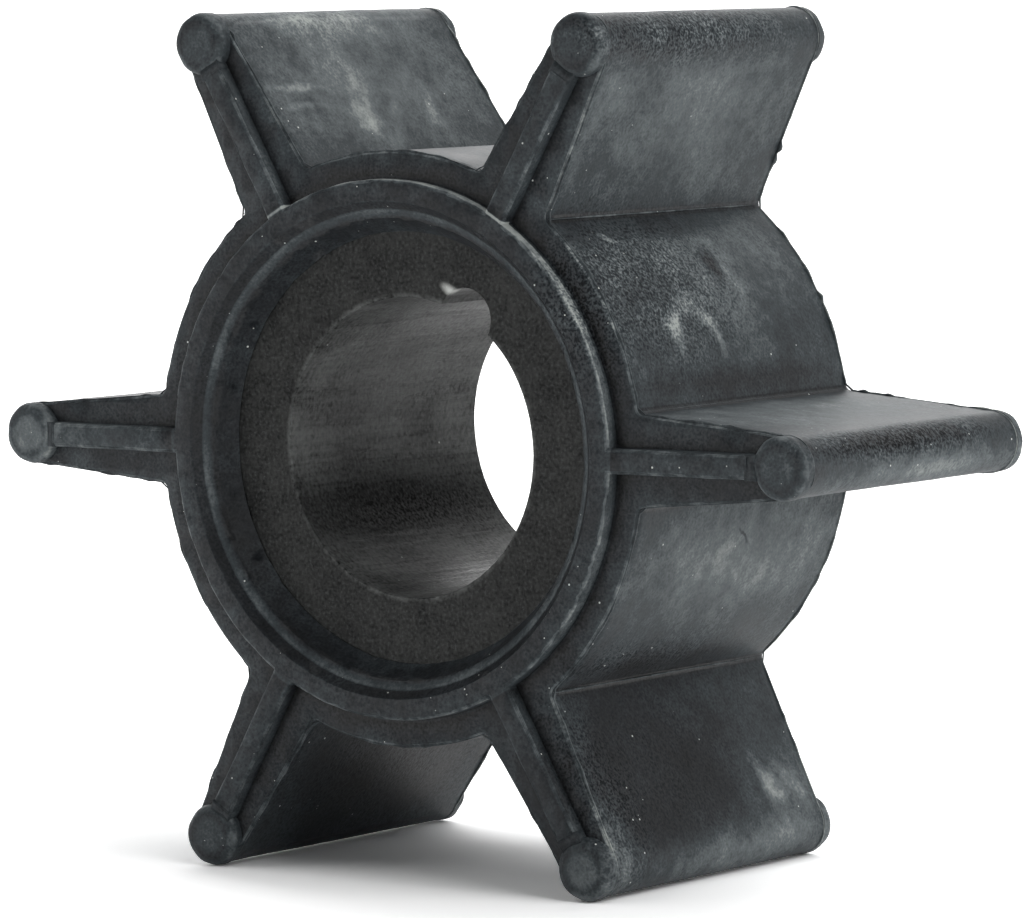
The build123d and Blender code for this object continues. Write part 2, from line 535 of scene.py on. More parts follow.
upper = upper_half()
lower = [(Vector((at.x, -at.y)), Vector((out.x, -out.y))) for at, out in upper[:0:-1]]
outline = []
for vane in range(VANE_COUNT):
    turn = Matrix.Rotation(math.tau * vane / VANE_COUNT, 2)
    outline += [(turn @ at, turn @ out) for at, out in lower + upper]
print("outline points:", len(outline))

# %% [markdown]
# ## Mould flash
# Where two parts of a mould meet, a film of rubber creeps between them and tears off unevenly. It
# is a fin a few hundredths of a millimetre thick along the edge, with a few larger rags left on.
# The fin starts as the outline, made of edges. Those are extruded once, the new points are pushed
# out by a noise that is mostly nothing, and the film is given its thickness.

# %% How far the flash stands out
FLASH_HEIGHT = 0.14 * MM
# The tips reach the part's full size, so the film stays low there.
FLASH_AT_TIP = 0.04 * MM
FLASH_WAVE = 0.9 * MM
# Below 1, this makes the hills of the noise blunter, and so the film fuller.
FLASH_FULLNESS = 0.7
RAGGED_SHARE = 0.6
RAG_WIDTH = 0.3 * MM
# Each rag: where it is across the part and up it, and how far it stands out, in millimetres.
FRONT_RAGS = ((-8.1, 9.1, 0.16), (-8.1, 16.6, 0.1), (-6.5, 14.6, 0.08), (10.5, -5.9, 0.08))
REAR_RAGS = ((13.9, 1.8, 0.14), (12.7, 1.9, 0.16), (10.6, 5.6, 0.16), (8.7, 8.1, 0.12),
             (8.7, 11.7, 0.2), (8.4, 11.2, 0.14), (8.9, -11.7, 0.16), (-6.5, 13.9, 0.1))


def flash_height(at, place, rags):
    """How far the film stands out at one point of the outline."""
    height = FLASH_HEIGHT * max(0.0, noise.noise(place / FLASH_WAVE)) ** FLASH_FULLNESS
    height *= 1 - RAGGED_SHARE + RAGGED_SHARE * share(place, RAG_WIDTH)
    for rag_x, rag_z, rag_height in rags:
        away = (at - Vector((rag_x, rag_z)) * MM).length
        height = max(height, rag_height * MM * (1 - away / RAG_WIDTH))
    if at.length > flank_end.length:
        height = min(height, FLASH_AT_TIP)
    return height


heights = [flash_height(at, Vector((at.x, 0, at.y)), FRONT_RAGS) for at, out in outline]
print("flash stands out up to", round(max(heights) / MM, 2), "mm")

# %% Where the flash lies
SIDE_SETBACK = 0.65 * MM
EDGE_RADIUS = 0.12 * MM

side_half = rubber_high.y - SIDE_SETBACK
flash_depth = side_half - EDGE_RADIUS
print("flash", round(flash_depth / MM, 2), "mm to the front and to the back of mid-width")

# %% Flash along both sides
FLASH_ROOT = 0.06 * MM
FLASH_THICKNESS = 0.05 * MM
# The flash is lightened all along, partly as wear and partly as a painted highlight on the edge.
FLASH_WEAR_AND_HIGHLIGHT = 0.5
REAR_FLASH_DUST = 0.3


def make_flash(name, depth, rags, dusty):
    """A torn film of rubber round the outline, at one depth along the axis."""
    film = bmesh.new()
    step = film.verts.layers.int.new("step")
    root = []
    for number, (at, out) in enumerate(outline):
        inside = at - out * FLASH_ROOT
        vert = film.verts.new((inside.x, depth, inside.y))
        vert[step] = number
        root.append(vert)
    edges = [film.edges.new(pair) for pair in zip(root, root[1:] + root[:1])]
    grown = bmesh.ops.extrude_edge_only(film, edges=edges)["geom"]
    for vert in grown:
        if isinstance(vert, bmesh.types.BMVert):
            at, out = outline[vert[step]]
            height = FLASH_ROOT + flash_height(at, vert.co, rags)
            vert.co += Vector((out.x, 0, out.y)) * height
    bmesh.ops.recalc_face_normals(film, faces=film.faces)
    bmesh.ops.solidify(film, geom=film.faces[:], thickness=FLASH_THICKNESS)
    bmesh.ops.recalc_face_normals(film, faces=film.faces)
    wear = film.verts.layers.float.new("wear_light_and_shade")
    dust_and_painted_light = film.verts.layers.float.new("dust_and_painted_light")
    for vert in film.verts:
        vert[wear] = FLASH_WEAR_AND_HIGHLIGHT
        vert[dust_and_painted_light] = dusty
    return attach(add_object(name, film), "root")


front_flash = make_flash("front_flash", -flash_depth, FRONT_RAGS, 0.0)
rear_flash = make_flash("rear_flash", flash_depth, REAR_RAGS, REAR_FLASH_DUST)

# %% [markdown]
# ## Webs at the rib ends
# A mould has no room for a knife-edge groove between a rib's end and its button, so a little
# rubber joins them there. One web is a small block whose top slopes down from the rib to the
# button, with its two long edges rounded like the rib's. Its foot is sunk in the vane's side.
# Twelve of them are made in one loop.

# %% Sizes of a web
RIB_THICKNESS = 1.05 * MM
RIB_GAP = 0.08 * MM
WEB_OVERLAP = 0.1 * MM
WEB_SIDE_GAP = 0.02 * MM
WEB_FROM_BUTTON = 1.0 * MM
WEB_SUNK = 0.3 * MM
WEB_TOP_AT_RIB = rubber_high.y - 0.02 * MM
WEB_TOP_AT_BUTTON = rubber_high.y - 0.16 * MM
WEB_EDGE = 0.16 * MM
WEB_EDGE_STEPS = 4

rib_end = tip_centre - TIP_ROUND - BUTTON_LIP - RIB_GAP
web_start = rib_end - WEB_OVERLAP
web_end = tip_centre - WEB_FROM_BUTTON
web_width = RIB_THICKNESS - 2 * WEB_SIDE_GAP
print("webs", round((web_end - web_start) / MM, 2), "mm long and", round(web_width / MM, 2), "mm wide")

# %% Twelve webs
webs = bmesh.new()
for vane in range(VANE_COUNT):
    for end in (-1, 1):
        block = bmesh.ops.create_cube(webs, size=1.0)["verts"]
        bmesh.ops.scale(webs, vec=Vector((web_end - web_start, 1, web_width)), verts=block)
        for vert in block:
            top = WEB_TOP_AT_RIB if vert.co.x < 0 else WEB_TOP_AT_BUTTON
            vert.co.x += (web_start + web_end) / 2
            vert.co.y = end * (top if vert.co.y > 0 else side_half - WEB_SUNK)
        long_edges = {edge for vert in block for edge in vert.link_edges
                      if all(abs(corner.co.y) > side_half for corner in edge.verts)
                      and edge.verts[0].co.z * edge.verts[1].co.z > 0}
        rounded = bmesh.ops.bevel(webs, geom=list(long_edges), offset=WEB_EDGE,
                                  segments=WEB_EDGE_STEPS, profile=0.5, affect="EDGES", material=-1)
        whole = {vert for vert in block if vert.is_valid} | set(rounded["verts"])
        bmesh.ops.rotate(webs, verts=list(whole), cent=(0, 0, 0),
                         matrix=Matrix.Rotation(-math.tau * vane / VANE_COUNT, 3, "Y"))
bmesh.ops.recalc_face_normals(webs, faces=webs.faces)
rib_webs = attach(add_object("rib_webs", webs), "root")

# %% [markdown]
# ## Witness lines
# The block of the mould that shapes the space between two vanes leaves a fine raised line in the
# corner where it met the next block. It is a thin bead that runs along the part and dies out, so
# a slim cylinder is enough: it is cut across, its points are drawn in towards its middle where
# the line fades, and half of it is sunk in the corner.

# %% One bead in a corner
BEAD_RADIUS = 0.055 * MM
BEAD_SIDES = 8
BEAD_PIECES = 60
BEAD_WAVE = 2.5 * MM
BEAD_PLAIN = 0.55
BEAD_SWELL = 0.9
BEAD_LEAST = 0.05
BEAD_DRIFT = 0.02 * MM

towards_corner = (-fillet_centre.normalized() - flank_normal).normalized()
corner = fillet_centre + towards_corner * ROOT_FILLET


def make_bead(strength, turn, side):
    """One thin raised line along a vane's root. Side is 1 for the upper corner, -1 for the lower."""
    bead = bmesh.new()
    bmesh.ops.create_cone(bead, cap_ends=True, segments=BEAD_SIDES, radius1=BEAD_RADIUS,
                          radius2=BEAD_RADIUS, depth=2 * flash_depth)
    long_edges = [edge for edge in bead.edges if abs(edge.verts[0].co.z - edge.verts[1].co.z) > MM]
    bmesh.ops.subdivide_edges(bead, edges=long_edges, cuts=BEAD_PIECES)
    place = turn @ Vector((corner.x, corner.y * side))
    for vert in bead.verts:
        along = vert.co.z
        left = strength * (BEAD_PLAIN + BEAD_SWELL * noise.noise(Vector((*place, along)) / BEAD_WAVE))
        left *= 1 - max(0.0, along / side_half) ** 3
        vert.co.xy *= max(BEAD_LEAST, min(1.0, left))
        drift = BEAD_DRIFT * noise.noise(Vector((along, *place)) / BEAD_WAVE)
        vert.co = Vector((place.x + vert.co.x + drift, along, place.y + vert.co.y))
    bmesh.ops.recalc_face_normals(bead, faces=bead.faces)
    return bead


print("vane root at, mm:", [round(value / MM, 2) for value in corner])

# %% A bead in every corner
# The strength of the bead on each vane's upper and lower corner, vane by vane from the right.
BEAD_STRENGTHS = ((0.15, 0.2), (0.35, 0.95), (0.3, 0.3), (0.4, 0.3), (0.4, 0.4), (1.0, 0.3))
# The beads are lightened, partly as wear and partly as a painted highlight on their lit tops.
BEAD_WEAR_AND_HIGHLIGHT = 0.55

beads = bmesh.new()
for vane, strengths in enumerate(BEAD_STRENGTHS):
    turn = Matrix.Rotation(math.tau * vane / VANE_COUNT, 2)
    for side, strength in zip((1, -1), strengths):
        bead = make_bead(strength, turn, side)
        one_bead = bpy.data.meshes.new("one bead")
        bead.to_mesh(one_bead)
        bead.free()
        beads.from_mesh(one_bead)
        bpy.data.meshes.remove(one_bead)
wear = beads.verts.layers.float.new("wear_light_and_shade")
for vert in beads.verts:
    vert[wear] = BEAD_WEAR_AND_HIGHLIGHT
witness_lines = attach(add_object("witness_lines", beads), "root")

# %% [markdown]
# ## Where things are on the skin
# The finishes below are laid out in millimetres from the middle of the part, because every piece
# sits at the origin. One helper reads that place, one measures the distance from the axis, and
# one tells how far a value is from a middle value. The last makes a small soft mark, such as a
# thumb smear: an oval that can be leaned over on the surface and turned to lie on a vane, or the
# upper rim of an oval, which is the arc that a fingertip leaves.

# %% Helpers for places
def place_in_mm(tree):
    """The point on the part, in millimetres."""
    where = add_node(tree, "ShaderNodeTexCoord")
    return add_node(tree, "ShaderNodeVectorMath", {0: where.outputs["Object"], 3: 1 / MM},
                    operation="SCALE")


def from_axis(tree, place):
    """The distance of a place from the part's axis."""
    flat_place = add_node(tree, "ShaderNodeVectorMath", {0: place, 1: (1, 0, 1)},
                          operation="MULTIPLY")
    return add_node(tree, "ShaderNodeVectorMath", {0: flat_place}, operation="LENGTH")


def off_by(tree, value, middle):
    """How far a value is from a middle value, above it or below."""
    off = add_node(tree, "ShaderNodeMath", {0: value, 1: middle}, operation="SUBTRACT")
    return add_node(tree, "ShaderNodeMath", {0: off}, operation="ABSOLUTE")


print("one metre is", round(1 / MM), "of the finish's millimetres")

# %% A helper for marks
MARK_CORE = 0.1
RIM_WIDTH = 0.42
ARC_FROM = -0.5
ARC_FULL = 0.4


def add_mark(tree, place, centre, half_size, lean, turn, arc=False):
    """1 in the middle of an oval mark and 0 past its edge. An arc is an oval's upper rim."""
    tilt = (math.radians(lean), math.radians(turn), 0)
    local = add_node(tree, "ShaderNodeMapping",
                     {"Vector": place, "Location": centre, "Rotation": tilt, "Scale": half_size},
                     vector_type="TEXTURE")
    away = add_node(tree, "ShaderNodeVectorMath", {0: local}, operation="LENGTH")
    if not arc:
        return add_node(tree, "ShaderNodeMapRange", {0: away, 1: 1.0, 2: MARK_CORE},
                        interpolation_type="SMOOTHSTEP")
    rim = add_node(tree, "ShaderNodeMapRange", {0: off_by(tree, away, 1.0), 1: RIM_WIDTH, 2: 0.0},
                   interpolation_type="SMOOTHSTEP")
    height = add_node(tree, "ShaderNodeSeparateXYZ", {0: local}).outputs["Z"]
    upper = add_node(tree, "ShaderNodeMapRange", {0: height, 1: ARC_FROM, 2: ARC_FULL},
                     interpolation_type="SMOOTHSTEP")
    return add_node(tree, "ShaderNodeMath", {0: rim, 1: upper}, operation="MULTIPLY")


print("a mark fades from", MARK_CORE, "of its size outwards")

# %% [markdown]
# ## Moulded nitrile rubber
# The body is nitrile rubber filled with soot, pressed hot in a steel mould. The mould's blasted
# steel leaves a fine grain that is neither shiny nor flat, and fillers that rise to the surface
# leave a grey bloom, so the eye sees a dull blue-black that is paler where it is dry. Grease,
# bloom, chalk and talc are all steps of one thing, which is how much pale matter lies on the
# black. Painted light and shade are added to the same number: painted shade on the flat ends, in
# corners, in the hub's recess and where the vanes keep the light off, and painted highlights on
# edges and on the ring's rim. So the finish adds everything up to one number, dust and painted
# light together, and a ramp at the end turns that number into a colour.

# %% Start the rubber
rubber, tree = new_material("moulded nitrile rubber")
place = place_in_mm(tree)
along_axis = add_node(tree, "ShaderNodeSeparateXYZ", {0: place}).outputs["Y"]
above_middle = add_node(tree, "ShaderNodeMath", {0: along_axis}, operation="ABSOLUTE")
radius = from_axis(tree, place)
print("measures of place:", [node.name for node in tree.nodes])

# %% [markdown]
# ### Clouds, mottle and grain
# Bloom comes in clouds a few millimetres wide, with a mottle inside them. The blasted grain is
# finer than a tenth of a millimetre. Where it is coarse its ridges join up into short worm-like
# lines: those are the places where a noise crosses its own middle value. The coarseness that was
# kept on the mesh says how strongly both of them show, and it comes and goes with the clouds.

# %% Bloom in clouds and mottle
CLOUD_WAVE = 2.4
MOTTLE_WAVE = 0.6
MOTTLE_ROUGHNESS = 0.6
PLAIN_DUST = 0.46
CLOUD_DUST = 0.1
MOTTLE_DUST = 0.05
# Nearly all of a noise texture lies between these two values.
NOISE_LOW = 0.3
NOISE_HIGH = 0.7

clouds = add_node(tree, "ShaderNodeTexNoise", {"Vector": place, "Scale": 1 / CLOUD_WAVE})
mottle = add_node(tree, "ShaderNodeTexNoise", {"Vector": place, "Scale": 1 / MOTTLE_WAVE,
                                               "Roughness": MOTTLE_ROUGHNESS})
dust_and_painted_light = add_node(tree, "ShaderNodeMapRange",
                {0: clouds, 1: NOISE_LOW, 2: NOISE_HIGH, 3: -CLOUD_DUST, 4: CLOUD_DUST})
dust_and_painted_light = add_node(tree, "ShaderNodeMath", {0: dust_and_painted_light, 1: PLAIN_DUST}, operation="ADD")
blotch = add_node(tree, "ShaderNodeMapRange",
                  {0: mottle, 1: NOISE_LOW, 2: NOISE_HIGH, 3: -MOTTLE_DUST, 4: MOTTLE_DUST})
dust_and_painted_light = add_node(tree, "ShaderNodeMath", {0: dust_and_painted_light, 1: blotch}, operation="ADD")
print("clouds", CLOUD_WAVE, "mm, mottle", MOTTLE_WAVE, "mm")

# %% How coarse the grain is
PLAIN_COARSENESS = 0.26
THIN_CLOUD = 0.35
FULL_CLOUD = 0.6
THIN_CLOUD_GRAIN = 0.7
FULL_CLOUD_GRAIN = 1.1

coarse = add_node(tree, "ShaderNodeAttribute", attribute_name="coarseness").outputs["Fac"]
coarse = add_node(tree, "ShaderNodeMath", {0: coarse, 1: PLAIN_COARSENESS}, operation="ADD")
clumps = add_node(tree, "ShaderNodeMapRange", {0: clouds, 1: THIN_CLOUD, 2: FULL_CLOUD,
                                               3: THIN_CLOUD_GRAIN, 4: FULL_CLOUD_GRAIN})
coarse = add_node(tree, "ShaderNodeMath", {0: coarse, 1: clumps}, operation="MULTIPLY")
print("coarseness away from the patches:", PLAIN_COARSENESS)

# %% Grain
# Real blasted grain is about 0.05 mm wide. That wouldn't show, so it is drawn twice as coarse.
GRAIN_WAVE = 0.12
GRAIN_LOW = 0.25
GRAIN_HIGH = 0.75
GRAIN_DUST = 0.2
WORM_WAVE = 0.26
WORM_DUST = 0.08
WORM_HALF_WIDTH = 0.1

worms = add_node(tree, "ShaderNodeTexNoise",
                 {"Vector": place, "Scale": 1 / WORM_WAVE, "Detail": 1.0})
grain = add_node(tree, "ShaderNodeTexNoise",
                 {"Vector": place, "Scale": 1 / GRAIN_WAVE, "Detail": 1.0})
ridge = add_node(tree, "ShaderNodeMapRange",
                 {0: off_by(tree, worms, 0.5), 1: 0.0, 2: WORM_HALF_WIDTH, 3: WORM_DUST, 4: -WORM_DUST})
speckle = add_node(tree, "ShaderNodeMapRange",
                   {0: grain, 1: GRAIN_LOW, 2: GRAIN_HIGH, 3: -GRAIN_DUST, 4: GRAIN_DUST})
grit = add_node(tree, "ShaderNodeMath", {0: ridge, 1: speckle}, operation="ADD")
grit = add_node(tree, "ShaderNodeMath", {0: grit, 1: coarse}, operation="MULTIPLY")
dust_and_painted_light = add_node(tree, "ShaderNodeMath", {0: dust_and_painted_light, 1: grit}, operation="ADD")
print("grain", GRAIN_WAVE, "mm, worms", WORM_WAVE, "mm")

# %% Broad patches, and painted shade on the flat ends
# A normal's part along the axis: where a rounded edge starts to count as an end, and a flat end.
END_FACE_FROM = 0.5
END_FACE_FULL = 0.95
END_FACE_SHADE = -0.12

facing = add_node(tree, "ShaderNodeNewGeometry").outputs["Normal"]
facing = add_node(tree, "ShaderNodeSeparateXYZ", {0: facing}).outputs["Y"]
facing = add_node(tree, "ShaderNodeMath", {0: facing}, operation="ABSOLUTE")
# Painted shade: the flat ends are darkened, the more the further they face along the axis.
end_face_shade = add_node(tree, "ShaderNodeMapRange",
                    {0: facing, 1: END_FACE_FROM, 2: END_FACE_FULL, 3: 0.0, 4: END_FACE_SHADE})
dust_and_painted_light = add_node(tree, "ShaderNodeMath", {0: dust_and_painted_light, 1: end_face_shade}, operation="ADD")
# The broad patches on the mesh bring dust and grease, and painted light and shade.
broad = add_node(tree, "ShaderNodeAttribute", attribute_name="dust_and_painted_light").outputs["Fac"]
dust_and_painted_light = add_node(tree, "ShaderNodeMath", {0: dust_and_painted_light, 1: broad}, operation="ADD")
print("nodes so far:", len(tree.nodes))

# %% [markdown]
# ### Smears, rubs and one greasy spot
# These are the small marks that handling leaves. Their edges are broken up by pulling the place
# about with a noise before the ovals are drawn, and each mark is thinned by the mottle, so it
# looks wiped on and not painted.

# %% A place that is pulled about
WIPE_WAVE = 0.9
WIPE_REACH = 0.32

wipe = add_node(tree, "ShaderNodeTexNoise", {"Vector": place, "Scale": 1 / WIPE_WAVE})
wipe = add_node(tree, "ShaderNodeVectorMath", {0: wipe.outputs["Color"], 1: (0.5, 0.5, 0.5)},
                operation="SUBTRACT")
wiped = add_node(tree, "ShaderNodeVectorMath", {0: wipe, 1: [2 * WIPE_REACH] * 3, 2: place},
                 operation="MULTIPLY_ADD")
print("marks are pulled about by up to", WIPE_REACH, "mm")

# %% Where the small marks are
# Each mark: its middle, its half sizes to the right, along the axis and up, all in millimetres,
# its lean on the surface and its turn about the axis in degrees, and its strength.
SMALL_MARKS = (
    ((-5.9, -1.5, 13.5), (1.4, 1.1, 2.5), -16, -VANE_LEAN, 0.26),
    ((-5.7, 0.4, 13.2), (1.4, 0.5, 2.0), -24, -VANE_LEAN, 0.12),
    ((-6.6, -5.2, 14.4), (1.4, 2.6, 0.32), 0, -VANE_LEAN, 0.28),
    ((-6.2, -5.2, 13.6), (1.4, 2.0, 0.26), 0, -VANE_LEAN, 0.2),
    ((-5.8, 3.0, 13.3), (1.4, 0.6, 1.4), -18, -VANE_LEAN, 0.1),
    ((-8.6, -3.2, 17.1), (1.8, 3.0, 1.0), 0, -VANE_LEAN, 0.2),
    ((11.0, -3.5, 5.0), (1.6, 0.95, 1.3), 0, 0, 0.2),
    ((11.2, -0.75, 4.3), (1.6, 0.45, 2.1), 16, 0, 0.1),
    ((9.9, 2.0, 6.8), (1.6, 0.6, 1.5), 20, 0, 0.09),
    ((9.6, 1.1, 7.2), (2.0, 0.8, 1.1), 0, 0, -0.5),
    ((8.7, -4.6, 8.5), (1.4, 0.9, 0.14), -25, 0, 0.45),
    ((9.7, 4.6, -14.1), (1.6, 0.8, 1.9), 30, -VANE_LEAN, 0.26),
    ((9.9, 6.5, -14.5), (1.6, 0.7, 1.8), 30, -VANE_LEAN, 0.2),
    ((10.1, -6.9, -15.4), (1.4, 1.5, 2.6), 0, -VANE_LEAN, 0.32),
    ((9.5, -7.4, -13.6), (1.4, 0.8, 4.5), 0, -VANE_LEAN, 0.16),
    ((11.5, 0.5, -3.6), (1.4, 0.8, 0.1), -35, 0, -0.45),
)

print("small marks:", len(SMALL_MARKS))

# %% Draw the marks
# First the arc on the barrel: its middle, its half sizes and its strength, in the same way.
ARC_CENTRE = (11.0, -2.25, 4.2)
ARC_HALF_SIZE = (9.0, 1.45, 1.7)
ARC_DUST = 0.2
# The mottle thins the marks down to the first of these and strengthens them up to the second.
THIN_MARK = 0.65
FULL_MARK = 1.1
FULL_MOTTLE = 0.65

marks = add_mark(tree, wiped, ARC_CENTRE, ARC_HALF_SIZE, 0, 0, arc=True)
marks = add_node(tree, "ShaderNodeMath", {0: marks, 1: ARC_DUST}, operation="MULTIPLY")
for centre, half_size, lean, turn, strength in SMALL_MARKS:
    mark = add_mark(tree, wiped, centre, half_size, lean, turn)
    marks = add_node(tree, "ShaderNodeMath", {0: mark, 1: strength, 2: marks},
                     operation="MULTIPLY_ADD")
thin = add_node(tree, "ShaderNodeMapRange",
                {0: mottle, 1: NOISE_LOW, 2: FULL_MOTTLE, 3: THIN_MARK, 4: FULL_MARK})
dust_and_painted_light = add_node(tree, "ShaderNodeMath", {0: marks, 1: thin, 2: dust_and_painted_light}, operation="MULTIPLY_ADD")
print("nodes so far:", len(tree.nodes))

# %% [markdown]
# ### The end of the hub
# The steps inside the sealing ring hold grease and lie in shade, and both are painted as one
# darkening, with a painted highlight on the ledge between the steps. The ring and its shoulder get
# a painted highlight along the rim and a line of painted shade where the ring meets the shoulder.
# Inside the ring the height above mid-width tells the steps apart, and on the ring and its shoulder
# the distance from the axis does. A ramp over that one measure sets the painted light and shade.

# %% Painted shade and highlights in steps
STEP_DEPTH = 0.6


def set_stops(ramp, stops):
    """Gives a ramp its stops, each a position and a colour. The outer two stay at 0 and 1."""
    elements = ramp.color_ramp.elements
    for position, paint in stops[1:-1]:
        elements.new(position)
    for element, (position, paint) in zip(elements, stops):
        element.color = paint


def add_steps(tree, value, steps):
    """Painted light and shade that follow one measure of the place, between the first step and the last.
    """
    first, last = steps[0][0], steps[-1][0]
    part_way = add_node(tree, "ShaderNodeMapRange", {0: value, 1: first, 2: last})
    ramp = add_node(tree, "ShaderNodeValToRGB", {0: part_way})
    set_stops(ramp, [((at - first) / (last - first), [0.5 + added / STEP_DEPTH] * 3 + [1])
                     for at, added in steps])
    return add_node(tree, "ShaderNodeMapRange", {0: ramp, 3: -STEP_DEPTH / 2, 4: STEP_DEPTH / 2})


print("steps may add or take", STEP_DEPTH / 2)

# %% Inside the ring, and on it
# Inside the ring: the height above mid-width in millimetres and the painted shade and highlight it adds
# there.
RECESS_SHADE_STEPS = ((6.5, -0.12), (7.0, -0.2), (7.6, -0.22), (7.7, 0.1), (7.8, 0.2), (7.84, 0.1),
                (7.88, -0.2), (8.14, -0.22), (8.22, -0.08))
# On the ring and the shoulder: the radius in millimetres and the painted highlight and shade it adds
# there.
RING_LIGHT_STEPS = ((10.1, -0.1), (10.4, -0.04), (10.8, 0.0), (10.86, 0.08), (10.96, 0.08),
              (11.04, -0.2), (11.3, -0.1), (11.8, 0.0))
RING_INNER = 10.04

recess_shade = add_steps(tree, above_middle, RECESS_SHADE_STEPS)
in_recess = add_node(tree, "ShaderNodeMath", {0: radius, 1: RING_INNER}, operation="LESS_THAN")
dust_and_painted_light = add_node(tree, "ShaderNodeMath", {0: recess_shade, 1: in_recess, 2: dust_and_painted_light},
                operation="MULTIPLY_ADD")
ring_light = add_steps(tree, radius, RING_LIGHT_STEPS)
on_ring = add_node(tree, "ShaderNodeMath", {0: 1.0, 1: in_recess}, operation="SUBTRACT")
dust_and_painted_light = add_node(tree, "ShaderNodeMath", {0: ring_light, 1: on_ring, 2: dust_and_painted_light},
                operation="MULTIPLY_ADD")
print("recess steps:", len(RECESS_SHADE_STEPS), "ring steps:", len(RING_LIGHT_STEPS))

# %% A pale line on the ring's rim, partly wear and partly a painted highlight
# A pale line runs along the ring's rim: partly wear where it rubs on the pump's cover, and partly a
# painted highlight, so it grows from nothing up to its full strength along this way, towards the light.
RIM_LIGHT_WAY = (0.2, 0.0, 0.98)
RIM_LIGHT_FROM = 4.0
RIM_LIGHT_FULL = 10.0
RIM_WEAR_AND_HIGHLIGHT = 0.62
RIM_LINE_RADIUS = 10.92
RIM_LINE_EDGE = 0.09
RIM_LINE_CORE = 0.03
RING_TOP = 7.75

rim_wear_and_highlight = add_node(tree, "ShaderNodeVectorMath", {0: place, 1: RIM_LIGHT_WAY}, operation="DOT_PRODUCT")
rim_wear_and_highlight = add_node(tree, "ShaderNodeMapRange", {0: rim_wear_and_highlight, 1: RIM_LIGHT_FROM, 2: RIM_LIGHT_FULL, 3: 0.0, 4: RIM_WEAR_AND_HIGHLIGHT})
rim = add_node(tree, "ShaderNodeMapRange",
               {0: off_by(tree, radius, RIM_LINE_RADIUS), 1: RIM_LINE_EDGE, 2: RIM_LINE_CORE})
high = add_node(tree, "ShaderNodeMath", {0: above_middle, 1: RING_TOP}, operation="GREATER_THAN")
rim = add_node(tree, "ShaderNodeMath", {0: rim, 1: high}, operation="MULTIPLY")
dust_and_painted_light = add_node(tree, "ShaderNodeMath", {0: rim, 1: rim_wear_and_highlight, 2: dust_and_painted_light}, operation="MULTIPLY_ADD")
print("rubbed line", 2 * RIM_LINE_EDGE, "mm wide at radius", RIM_LINE_RADIUS, "mm")

# %% [markdown]
# ### Six buttons at once
# The domed buttons repeat six times, paler on the dome and darker round it, where the dark rim is
# painted shade at the dome's foot. Folding the angle round the axis into one sixth of a turn lays
# all six on one another, and then the distance from that one button's middle is enough for all
# of them.

# %% Fold the buttons onto one
BUTTON_MIDDLE = tip_centre / MM
HALF_PITCH = math.pi / VANE_COUNT

split = add_node(tree, "ShaderNodeSeparateXYZ", {0: place})
angle = add_node(tree, "ShaderNodeMath", {0: split.outputs["Z"], 1: split.outputs["X"]},
                 operation="ARCTAN2")
folded = add_node(tree, "ShaderNodeMath", {0: angle, 1: -HALF_PITCH, 2: HALF_PITCH},
                  operation="WRAP")
outwards = add_node(tree, "ShaderNodeMath", {0: folded}, operation="COSINE")
outwards = add_node(tree, "ShaderNodeMath", {0: outwards, 1: radius}, operation="MULTIPLY")
across = add_node(tree, "ShaderNodeMath", {0: folded}, operation="SINE")
across = add_node(tree, "ShaderNodeMath", {0: across, 1: radius}, operation="MULTIPLY")
past = add_node(tree, "ShaderNodeMath", {0: outwards, 1: BUTTON_MIDDLE}, operation="SUBTRACT")
from_button = add_node(tree, "ShaderNodeCombineXYZ", {0: past, 1: across})
from_button = add_node(tree, "ShaderNodeVectorMath", {0: from_button}, operation="LENGTH")
print("buttons at", round(BUTTON_MIDDLE, 2), "mm from the axis")

# %% Paler domes, and painted shade round the buttons
# Distances from a button's middle, and heights above mid-width, in millimetres.
DOME_RADIUS = 0.55
DOME_PALER = 0.14
BUTTON_RIM = 0.95
BUTTON_RIM_SHADE = -0.05
BUTTON_EDGE = 1.15
END_FROM = 7.7
END_FULL = 7.9

# Paler on the dome, and painted shade round its rim.
button_tone = add_node(tree, "ShaderNodeMapRange",
                       {0: from_button, 1: DOME_RADIUS, 2: BUTTON_RIM, 3: DOME_PALER, 4: BUTTON_RIM_SHADE},
                       interpolation_type="SMOOTHSTEP")
on_end = add_node(tree, "ShaderNodeMapRange", {0: above_middle, 1: END_FROM, 2: END_FULL})
on_button = add_node(tree, "ShaderNodeMapRange", {0: from_button, 1: BUTTON_EDGE, 2: BUTTON_RIM})
on_button = add_node(tree, "ShaderNodeMath", {0: on_button, 1: on_end}, operation="MULTIPLY")
dust_and_painted_light = add_node(tree, "ShaderNodeMath", {0: button_tone, 1: on_button, 2: dust_and_painted_light},
                operation="MULTIPLY_ADD")
print("domes", 2 * DOME_RADIUS, "mm wide on buttons", 2 * BUTTON_EDGE, "mm wide")

# %% [markdown]
# ### Worn and highlighted edges, and shaded corners
# The number that was kept on the mesh lightens the edges, in a broken line and not an even one:
# that is partly wear and partly a painted highlight. In the corners it is below nothing, and there
# the same number darkens the rubber as painted shade.

# %% Worn and highlighted edges, and painted shade in corners
WEAR_FROM = 0.15
WEAR_FULL = 0.8
WEAR_AND_HIGHLIGHT = 0.28
CORNER_SHADE_FROM = -0.05
CORNER_SHADE_FULL = -0.6
CORNER_SHADE_TAKES = 0.3
# The mottle breaks the worn line: this much is left of it where the mottle is low.
BROKEN_WEAR = 0.4
BREAK_LOW = 0.4
BREAK_HIGH = 0.6

wear_light_and_shade = add_node(tree, "ShaderNodeAttribute", attribute_name="wear_light_and_shade").outputs["Fac"]
